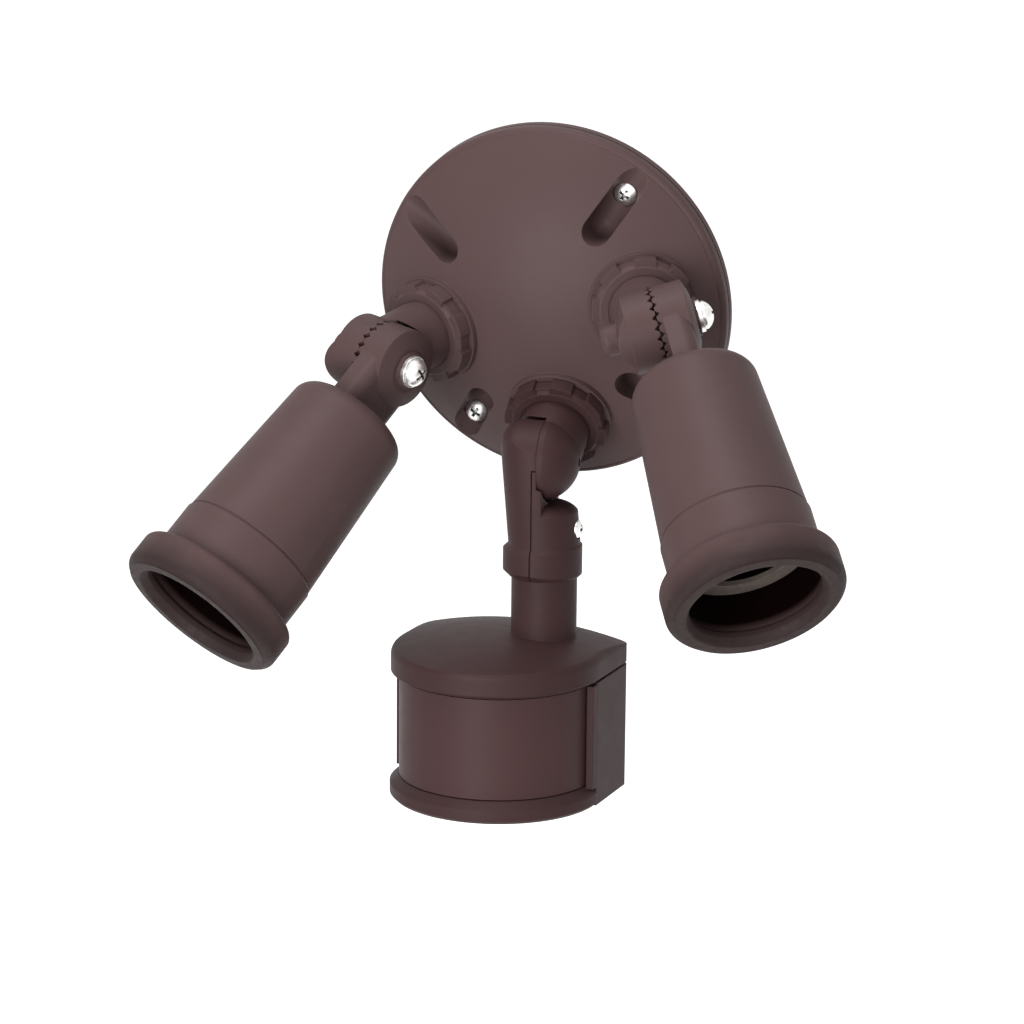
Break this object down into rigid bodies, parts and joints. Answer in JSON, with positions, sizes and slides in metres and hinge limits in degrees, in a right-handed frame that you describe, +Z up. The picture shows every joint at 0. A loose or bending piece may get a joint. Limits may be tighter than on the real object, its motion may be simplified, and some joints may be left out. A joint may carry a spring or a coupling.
{
  "type": "motion sensor light",
  "caption": "Outdoor motion sensor light: domed round wall plate, swivelling lamp holders on toothed knuckles and a sensor head on a jointed arm.",
  "frame": {"origin": "centre of the round plate on the wall plane, midway between the two mounting screws", "axes": "+Y into the wall along the mounting screws, +Z up, +X to the right seen from the front"},
  "size_m": [0.2104, 0.1444, 0.1994],
  "materials": {
    "bronze_metal": "satin bronze coat on die-cast aluminium",
    "bronze_plastic": "satin bronze plastic",
    "lens_film": "thin satin polyethylene in the housing's colour",
    "bright_screws": "zinc plated",
    "seal_rubber": "dark soft rubber",
    "gasket_foam": "closed-cell foam",
    "socket_body": "heat-proof moulding",
    "brass": "rolled brass",
    "board_green": "fibre board with green mask",
    "tin_can": "tinned can",
    "relay_case": "moulded case",
    "light_cell": "clear-coated cell",
    "control_black": "black moulded"
  },
  "bodies": {
    "plate": {"cover_plate": "bronze_metal", "wall_gasket": "gasket_foam", "mounting_screws": "bright_screws", "left_locknut": "bronze_metal", "right_locknut": "bronze_metal", "sensor_locknut": "bronze_plastic"},
    "left_knuckle": {"left_arm": "bronze_metal", "left_clamp_screw": "bright_screws"},
    "left_lamp": {"left_holder": "bronze_metal", "left_mouth_seal": "seal_rubber", "left_socket": "socket_body", "left_screw_shell": "brass", "left_contact": "brass"},
    "right_knuckle": {"right_arm": "bronze_metal", "right_clamp_screw": "bright_screws"},
    "right_lamp": {"right_holder": "bronze_metal", "right_mouth_seal": "seal_rubber", "right_socket": "socket_body", "right_screw_shell": "brass", "right_contact": "brass"},
    "elbow": {"sensor_elbow": "bronze_plastic"},
    "sensor_arm": {"arm_long_shell": "bronze_plastic", "arm_short_shell": "bronze_plastic", "arm_clamp_screw": "bright_screws"},
    "sensor_head": {"sensor_housing": "bronze_plastic", "sensor_front": "bronze_plastic", "sensor_lens": "lens_film", "circuit_board": "board_green", "motion_detector": "tin_can", "relay": "relay_case", "light_cell": "light_cell", "switch_body": "tin_can", "dial_body": "socket_body", "housing_screws": "bright_screws"},
    "switch_knob": {"time_switch": "control_black"},
    "dial_knob": {"range_dial": "control_black"}
  },
  "joints": [
    {"name": "left_swivel", "type": "hinge", "parent": "plate", "child": "left_knuckle", "pos_m": [-0.0337, -0.01912, 0], "axis": [-0.3942, -0.919, 0], "range_deg": [-120, 120]},
    {"name": "left_tilt", "type": "hinge", "parent": "left_knuckle", "child": "left_lamp", "pos_m": [-0.04375, -0.04255, 0], "axis": [-0.8902, 0.3818, 0.2487], "range_deg": [-30, 100]},
    {"name": "right_swivel", "type": "hinge", "parent": "plate", "child": "right_knuckle", "pos_m": [0.0337, -0.01912, 0], "axis": [0.3942, -0.919, 0], "range_deg": [-120, 120]},
    {"name": "right_tilt", "type": "hinge", "parent": "right_knuckle", "child": "right_lamp", "pos_m": [0.04375, -0.04255, 0], "axis": [0.9181, 0.3937, 0.0454], "range_deg": [-110, 32]},
    {"name": "sensor_swivel", "type": "hinge", "parent": "plate", "child": "elbow", "pos_m": [0, -0.02006, -0.0314], "axis": [0, -0.9301, -0.3673], "range_deg": [-30, 70]},
    {"name": "sensor_tilt", "type": "hinge", "parent": "elbow", "child": "sensor_arm", "pos_m": [0, -0.03811, -0.03852], "axis": [-0.9796, -0.0738, 0.187], "range_deg": [-6, 124]},
    {"name": "sensor_pan", "type": "hinge", "parent": "sensor_arm", "child": "sensor_head", "pos_m": [0.00039, -0.03808, -0.0386], "axis": [-0.1718, -0.1758, -0.9693], "range_deg": [-150, 150]},
    {"name": "time_slide", "type": "slide", "parent": "sensor_head", "child": "switch_knob", "axis": [0.9846, -0.0635, -0.163], "range_m": [-0.0031, 0.0031]},
    {"name": "range_turn", "type": "hinge", "parent": "sensor_head", "child": "dial_knob", "pos_m": [-0.03792, -0.07566, -0.13084], "axis": [-0.1718, -0.1758, -0.9693], "range_deg": [-135, 135]}
  ]
}
